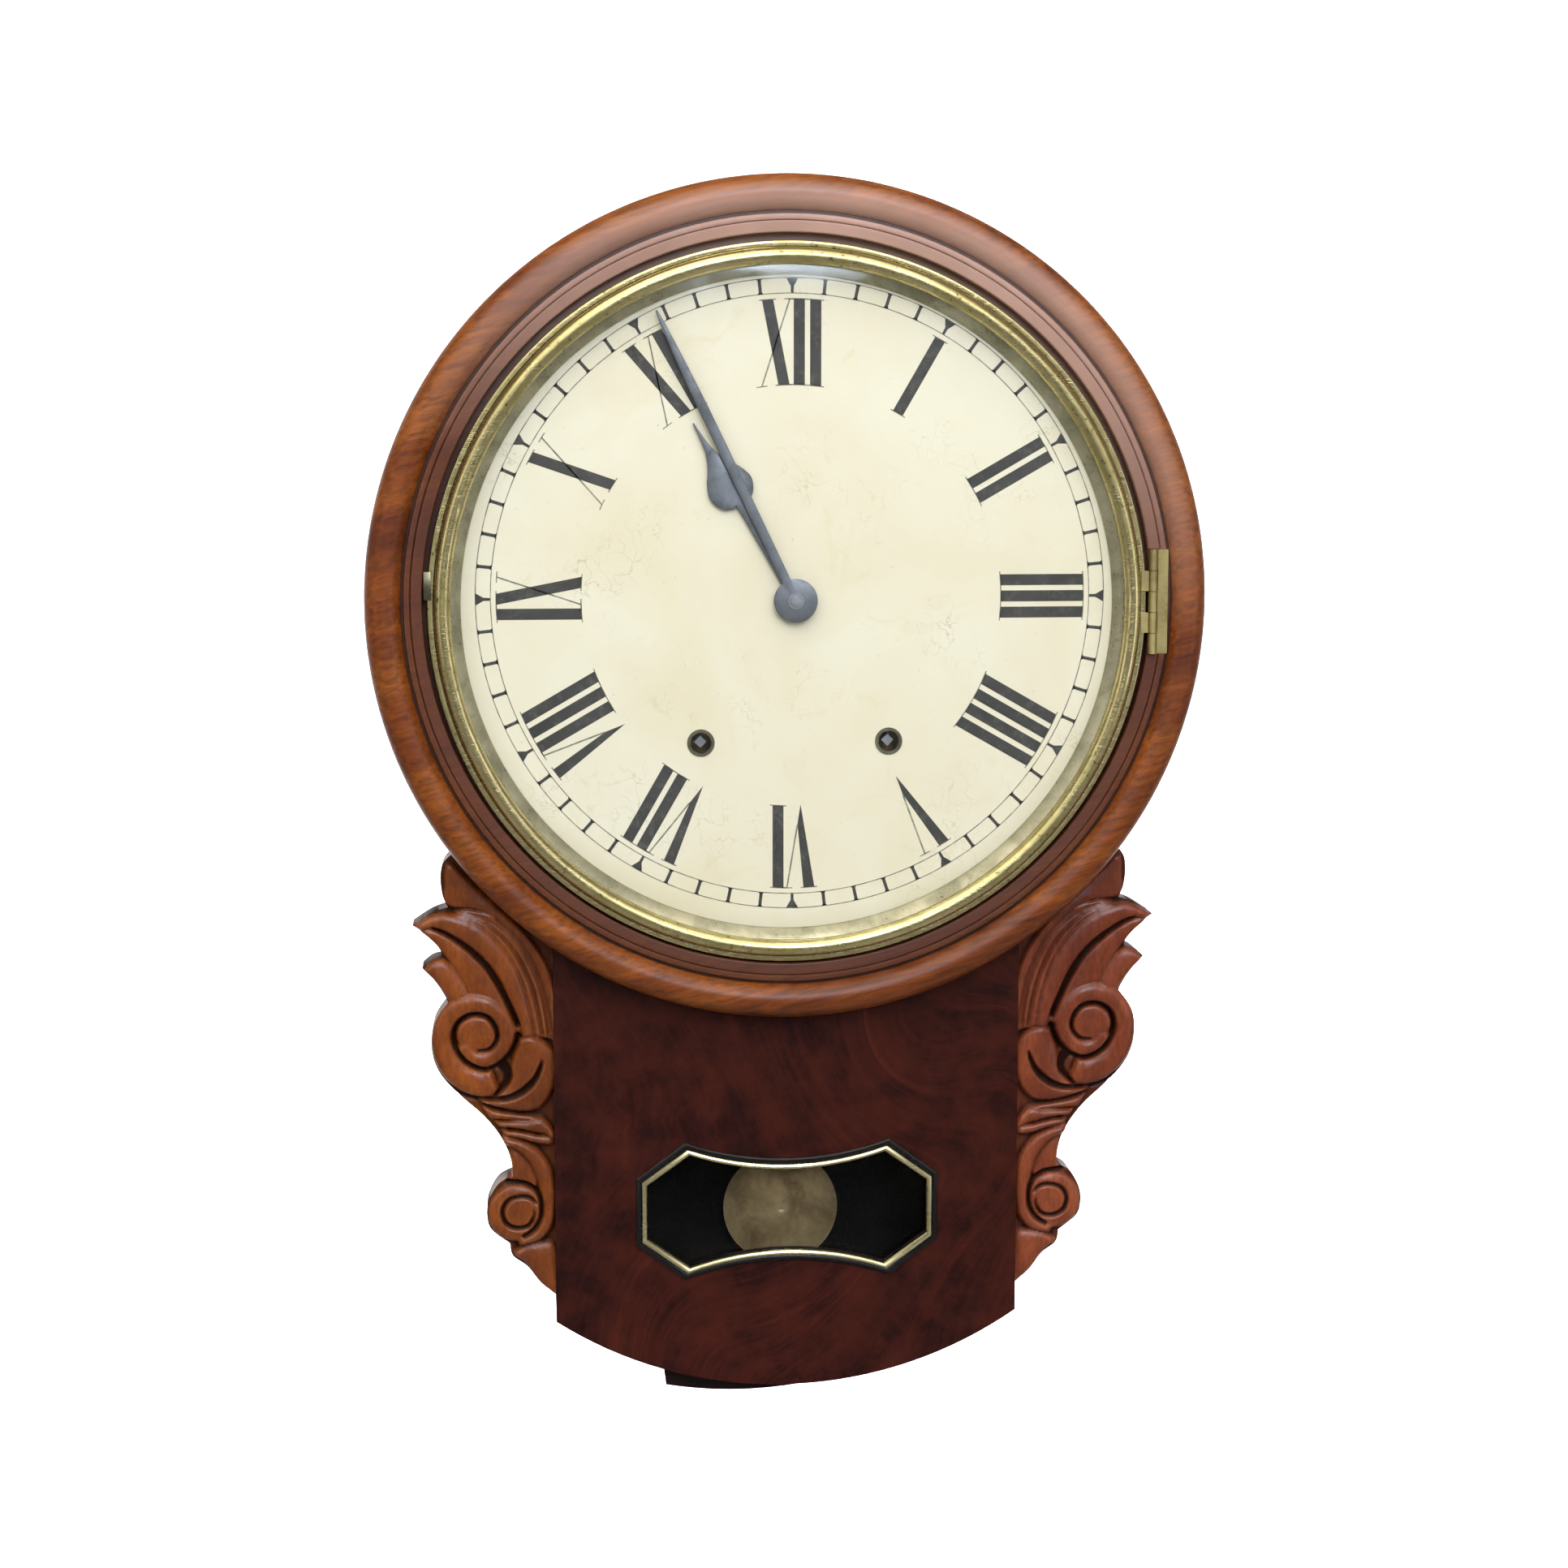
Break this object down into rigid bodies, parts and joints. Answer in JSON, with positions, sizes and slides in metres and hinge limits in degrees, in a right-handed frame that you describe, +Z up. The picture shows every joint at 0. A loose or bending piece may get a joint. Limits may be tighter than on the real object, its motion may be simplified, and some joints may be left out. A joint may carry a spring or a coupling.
{
  "type": "drop dial clock",
  "caption": "Wall clock with a round turned wooden surround, hinged brass bezel, carved ears, pendulum window and a curved foot door.",
  "frame": {"origin": "centre of the hanging hole, on the wall's plane", "axes": "+Z up, front towards -Y, +X to the right seen from the front"},
  "size_m": [0.3779, 0.1103, 0.5618],
  "materials": {
    "case_wood": "old varnished pine and mahogany, dark",
    "mahogany": "flame mahogany veneer, french polished",
    "surround_wood": "turned mahogany, worn polish",
    "ear_wood": "carved mahogany, worn wax",
    "black_wood": "ebonised, satin",
    "brass": "old lacquered brass, tarnished",
    "movement_brass": "clean rolled brass",
    "steel": "polished steel",
    "blue_steel": "blued steel, faded to grey",
    "spring_steel": "tempered spring steel",
    "iron": "black painted iron",
    "dial_paint": "aged cream paint with fine cracks",
    "glass": "old clear glass"
  },
  "bodies": {
    "case": {"backboard": "case_wood", "case_side_left": "case_wood", "case_side_right": "case_wood", "case_top": "case_wood", "mask_board": "case_wood", "trunk_front": "mahogany", "foot_rail_left": "case_wood", "foot_rail_right": "case_wood", "door_pins": "brass", "door_button_screw": "brass", "surround": "surround_wood", "ear_left": "ear_wood", "ear_right": "ear_wood", "hanger_plate": "brass", "hanger_screws": "brass", "window_border": "black_wood", "window_frame": "brass", "window_glass": "glass", "glazing_blocks": "case_wood", "dial": "dial_paint", "dial_screws": "brass", "ferrules": "brass", "hinge_case_leaf": "brass", "hinge_pin": "brass", "movement_blocks": "case_wood", "movement_screws": "steel", "back_plate": "movement_brass", "front_plate": "movement_brass", "pillars": "movement_brass", "mainsprings": "spring_steel", "gong": "spring_steel", "gong_stand": "iron", "suspension_post": "movement_brass"},
    "bezel": {"bezel_ring": "brass", "bezel_glass": "glass", "sight_ring": "brass", "hinge_bezel_leaf": "brass"},
    "minute": {"minute_hand": "blue_steel", "hand_nut": "brass", "centre_arbor": "movement_brass"},
    "hour": {"hour_hand": "blue_steel", "hour_wheel": "movement_brass"},
    "minute_wheel": {"minute_wheel": "movement_brass"},
    "third": {"third_wheel": "movement_brass"},
    "escape": {"escape_wheel": "movement_brass"},
    "time_second": {"time_second_wheel": "movement_brass"},
    "time_great": {"time_great_wheel": "movement_brass"},
    "time_winding": {"time_winding_arbor": "steel"},
    "warning": {"warning_wheel": "movement_brass"},
    "strike_second": {"strike_second_wheel": "movement_brass"},
    "strike_great": {"strike_great_wheel": "movement_brass"},
    "fly": {"fly": "movement_brass"},
    "strike_winding": {"strike_winding_arbor": "steel"},
    "pendulum": {"pendulum_rod": "brass", "pendulum_bob": "brass", "rating_nut": "brass"},
    "anchor": {"anchor": "steel"},
    "hammer": {"hammer": "steel"},
    "foot_door": {"foot_door": "mahogany"},
    "door_button": {"door_button": "brass"}
  },
  "joints": [
    {"name": "bezel_hinge", "type": "hinge", "parent": "case", "child": "bezel", "pos_m": [0.1638, -0.105, -0.132], "axis": [0, 0, 1], "range_deg": [0, 110]},
    {"name": "minute_spin", "type": "hinge", "parent": "case", "child": "minute", "pos_m": [0.0026, -0.1, -0.1308], "axis": [0, 1, 0], "continuous": true},
    {"name": "hour_spin", "type": "hinge", "parent": "case", "child": "hour", "pos_m": [0.0026, -0.09, -0.1308], "axis": [0, 1, 0], "continuous": true},
    {"name": "minute_wheel_spin", "type": "hinge", "parent": "case", "child": "minute_wheel", "pos_m": [-0.01544, -0.078, -0.13737], "axis": [0, 1, 0], "continuous": true},
    {"name": "third_spin", "type": "hinge", "parent": "case", "child": "third", "pos_m": [0.01863, -0.055, -0.11267], "axis": [0, 1, 0], "continuous": true},
    {"name": "escape_spin", "type": "hinge", "parent": "case", "child": "escape", "pos_m": [0.0026, -0.055, -0.0976], "axis": [0, 1, 0], "continuous": true},
    {"name": "time_second_spin", "type": "hinge", "parent": "case", "child": "time_second", "pos_m": [0.02625, -0.055, -0.15794], "axis": [0, 1, 0], "continuous": true},
    {"name": "time_great_spin", "type": "hinge", "parent": "case", "child": "time_great", "pos_m": [0.0451, -0.056, -0.1948], "axis": [0, 1, 0], "continuous": true},
    {"name": "time_winding_spin", "type": "hinge", "parent": "case", "child": "time_winding", "pos_m": [0.0451, -0.07, -0.1948], "axis": [0, 1, 0], "continuous": true},
    {"name": "warning_spin", "type": "hinge", "parent": "case", "child": "warning", "pos_m": [-0.03913, -0.055, -0.12874], "axis": [0, 1, 0], "continuous": true},
    {"name": "strike_second_spin", "type": "hinge", "parent": "case", "child": "strike_second", "pos_m": [-0.04351, -0.055, -0.15356], "axis": [0, 1, 0], "continuous": true},
    {"name": "strike_great_spin", "type": "hinge", "parent": "case", "child": "strike_great", "pos_m": [-0.0399, -0.056, -0.1948], "axis": [0, 1, 0], "continuous": true},
    {"name": "fly_spin", "type": "hinge", "parent": "case", "child": "fly", "pos_m": [-0.03332, -0.055, -0.11277], "axis": [0, 1, 0], "continuous": true},
    {"name": "strike_winding_spin", "type": "hinge", "parent": "case", "child": "strike_winding", "pos_m": [-0.0399, -0.07, -0.1948], "axis": [0, 1, 0], "continuous": true},
    {"name": "pendulum_swing", "type": "hinge", "parent": "case", "child": "pendulum", "pos_m": [0.0026, -0.02, -0.0778], "axis": [0, 1, 0], "range_deg": [-4, 4]},
    {"name": "anchor_rock", "type": "hinge", "parent": "case", "child": "anchor", "pos_m": [0.0026, -0.05, -0.0778], "axis": [0, 1, 0], "range_deg": [-4, 4]},
    {"name": "hammer_swing", "type": "hinge", "parent": "case", "child": "hammer", "pos_m": [-0.0274, -0.055, -0.2348], "axis": [0, 1, 0], "range_deg": [0, 15]},
    {"name": "foot_door_hinge", "type": "hinge", "parent": "case", "child": "foot_door", "pos_m": [0.0536, -0.044, -0.48552], "axis": [0, -1, 0], "range_deg": [-7, 70]},
    {"name": "button_turn", "type": "hinge", "parent": "case", "child": "door_button", "pos_m": [-0.06374, -0.044, -0.48849], "axis": [0.3355, 0, 0.9421], "range_deg": [0, 90]}
  ],
  "couplings": [
    {"joint": "hour_spin", "follows": "minute_spin", "ratio": 0.083333},
    {"joint": "minute_wheel_spin", "follows": "minute_spin", "ratio": -0.33333},
    {"joint": "third_spin", "follows": "minute_spin", "ratio": -10},
    {"joint": "escape_spin", "follows": "minute_spin", "ratio": 100},
    {"joint": "time_second_spin", "follows": "minute_spin", "ratio": -0.25},
    {"joint": "time_great_spin", "follows": "minute_spin", "ratio": 0.0375},
    {"joint": "strike_second_spin", "follows": "warning_spin", "ratio": -0.125},
    {"joint": "strike_great_spin", "follows": "warning_spin", "ratio": 0.01875},
    {"joint": "fly_spin", "follows": "warning_spin", "ratio": -7.5},
    {"joint": "anchor_rock", "follows": "pendulum_swing", "ratio": 1}
  ]
}
